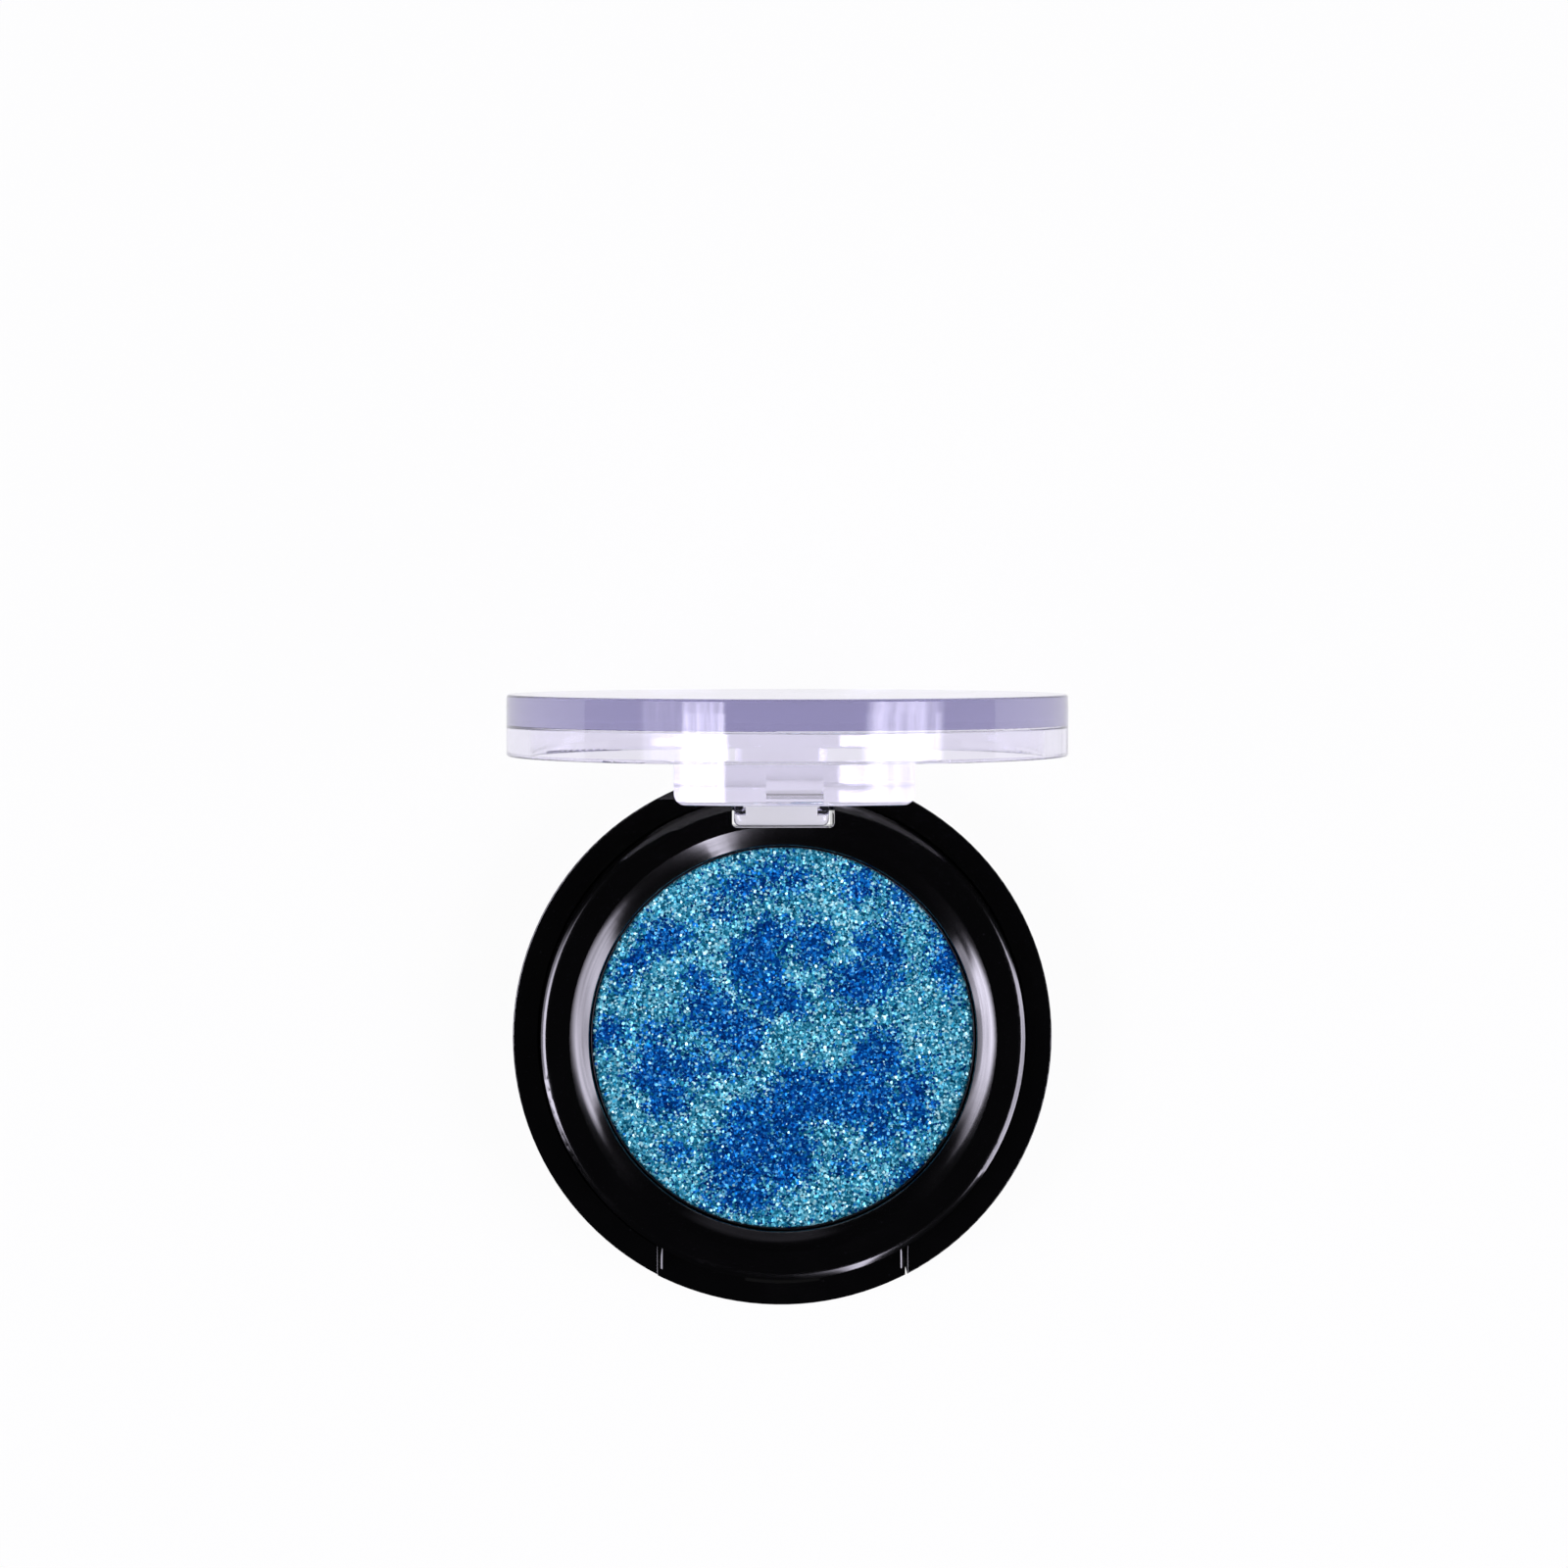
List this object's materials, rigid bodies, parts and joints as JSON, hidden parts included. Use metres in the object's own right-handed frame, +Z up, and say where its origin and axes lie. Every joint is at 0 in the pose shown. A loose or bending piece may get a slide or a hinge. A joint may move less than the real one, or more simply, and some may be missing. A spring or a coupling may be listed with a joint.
{
  "type": "eyeshadow compact",
  "caption": "Round black makeup compact with a pressed glitter eyeshadow pan and a clear hinged snap lid with a thumb tab, shown open.",
  "frame": {"origin": "centre of the base's flat underside, on the surface the compact stands on", "axes": "+Z up, -Y towards the thumb tab at the front, +Y towards the hinge, +X to the right seen from the front"},
  "size_m": [0.044, 0.0507, 0.0446],
  "materials": {
    "case_black": "gloss black moulded plastic",
    "deck_black": "gloss black moulded plastic",
    "pan_metal": "pressed sheet, satin",
    "pressed_powder": "pressed teal and blue powder full of glitter",
    "adhesive": "soft glue pad",
    "pin_steel": "drawn wire",
    "lid_clear": "clear, very faintly violet",
    "label_paper": "bare matt paper"
  },
  "bodies": {
    "base": {"base_shell": "case_black", "deck_insert": "deck_black", "metal_pan": "pan_metal", "powder_cake": "pressed_powder", "pan_adhesive": "adhesive", "hinge_pin_left": "pin_steel", "hinge_pin_right": "pin_steel", "underside_label": "label_paper"},
    "lid": {"lid": "lid_clear"}
  },
  "joints": [
    {"name": "lid_hinge", "type": "hinge", "parent": "base", "child": "lid", "pos_m": [0, 0.0189, 0.00365], "axis": [1, 0, 0], "range_deg": [0, 90]}
  ]
}
